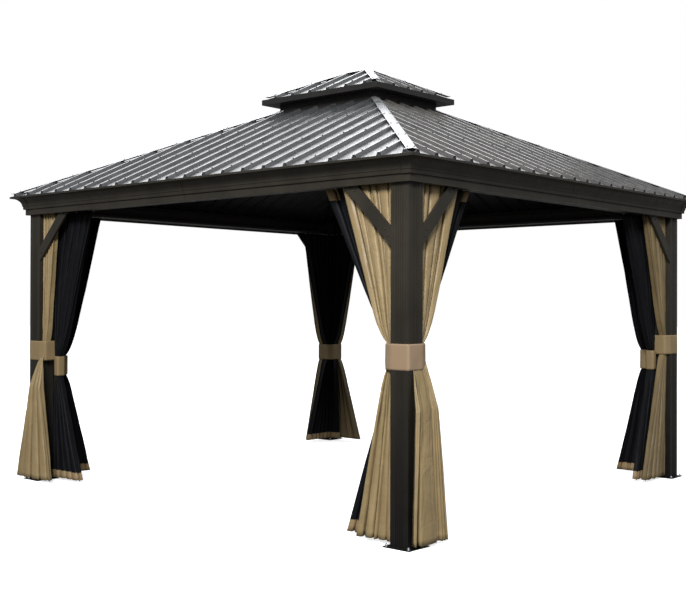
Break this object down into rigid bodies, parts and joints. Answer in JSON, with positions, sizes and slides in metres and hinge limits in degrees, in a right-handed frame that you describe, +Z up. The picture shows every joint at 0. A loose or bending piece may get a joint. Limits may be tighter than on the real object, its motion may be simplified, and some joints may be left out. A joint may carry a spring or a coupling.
{
  "type": "metal gazebo",
  "caption": "Open rectangular metal gazebo with a two-tier ribbed hip roof on corner posts, knee braces, and curtains and nets tied back at each post.",
  "frame": {"origin": "centre of the plan, on the floor", "axes": "+X along the long side, +Y along the short side towards the back, +Z up"},
  "size_m": [3.948, 3.728, 3.2115],
  "materials": {
    "frame": "dark bronze powder coat, satin",
    "foot_plate": "dark powder coat, satin",
    "roof_sheet": "charcoal coated steel, semi-gloss",
    "roof_cap": "grey coated steel, semi-gloss",
    "curtain": "khaki polyester, light sheen",
    "tie_band": "khaki polyester, matt",
    "net": "black netting"
  },
  "bodies": {
    "root": {"post_front_left": "frame", "post_front_right": "frame", "post_back_right": "frame", "post_back_left": "frame", "foot_front_left": "foot_plate", "foot_front_right": "foot_plate", "foot_back_right": "foot_plate", "foot_back_left": "foot_plate", "beam_front": "frame", "beam_right": "frame", "beam_back": "frame", "beam_left": "frame", "braces_front_left": "frame", "braces_front_right": "frame", "braces_back_right": "frame", "braces_back_left": "frame", "cornice_front": "frame", "cornice_right": "frame", "cornice_back": "frame", "cornice_left": "frame", "cornice_corners": "frame", "roof_front": "roof_sheet", "roof_right": "roof_sheet", "roof_back": "roof_sheet", "roof_left": "roof_sheet", "hip_caps": "roof_cap", "hip_rafters": "frame", "vent_collar": "frame", "top_roof_front": "roof_sheet", "top_roof_right": "roof_sheet", "top_roof_back": "roof_sheet", "top_roof_left": "roof_sheet", "top_fascia": "frame", "top_caps": "roof_cap", "curtain_rails": "frame", "curtains_front_left": "curtain", "curtains_front_right": "curtain", "curtains_back_right": "curtain", "curtains_back_left": "curtain", "nets_front_left": "net", "nets_front_right": "net", "nets_back_right": "net", "nets_back_left": "net", "tie_bands": "tie_band"}
  },
  "joints": []
}
